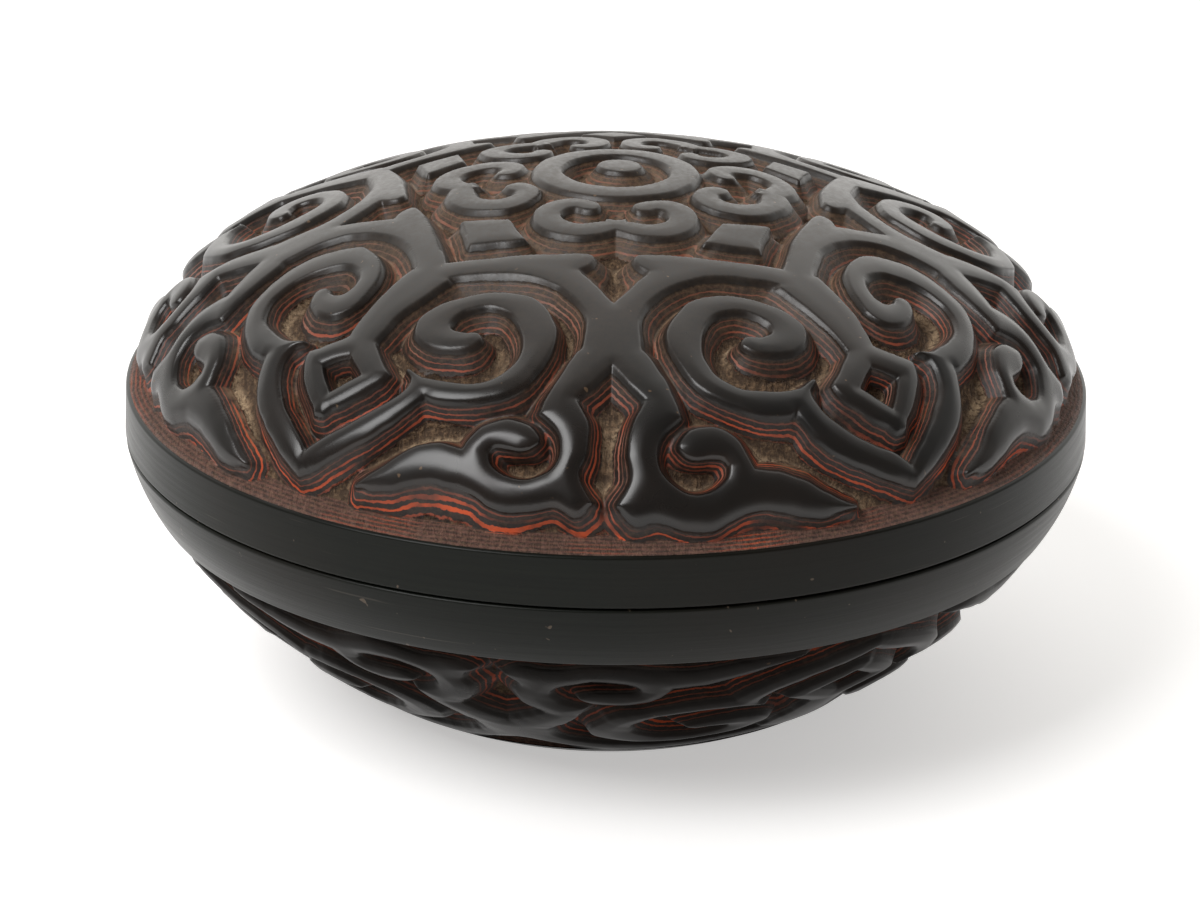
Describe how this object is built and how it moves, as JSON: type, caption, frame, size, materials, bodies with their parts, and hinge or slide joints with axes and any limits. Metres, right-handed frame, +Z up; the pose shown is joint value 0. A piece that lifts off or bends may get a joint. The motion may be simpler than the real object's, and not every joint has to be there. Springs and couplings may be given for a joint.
{
  "type": "carved lacquer covered box",
  "caption": "Small round covered box with a domed lid: black lacquer carved deep in linked ruyi scrolls over layered red lines, smooth bands along the parting line, foot ring and locating lip.",
  "frame": {"origin": "centre of the foot ring on the surface the box stands on", "axes": "+Z up along the axis of the box, +X to the right and +Y away from the camera, so the front of the box faces -Y"},
  "size_m": [0.069, 0.069, 0.037],
  "materials": {
    "carved_lacquer": "satin black lacquer cut through thin red layers",
    "band_lacquer": "satin black lacquer, faintly brushed",
    "inner_lacquer": "plain black lacquer",
    "wood_core": "bare turned wood, hidden by the lacquer"
  },
  "bodies": {
    "base": {"base_wood_core": "wood_core", "base_carved_lacquer": "carved_lacquer", "base_rim_band": "band_lacquer", "base_locating_lip": "inner_lacquer", "base_lining": "inner_lacquer", "base_foot_ring": "band_lacquer", "base_underside_lacquer": "inner_lacquer"},
    "lid": {"lid_wood_core": "wood_core", "lid_carved_lacquer": "carved_lacquer", "lid_rim_band": "band_lacquer", "lid_lining": "inner_lacquer"}
  },
  "joints": [
    {"name": "lid_lift", "type": "slide", "parent": "base", "child": "lid", "axis": [0, 0, 1], "range_m": [0, 0.05]}
  ]
}
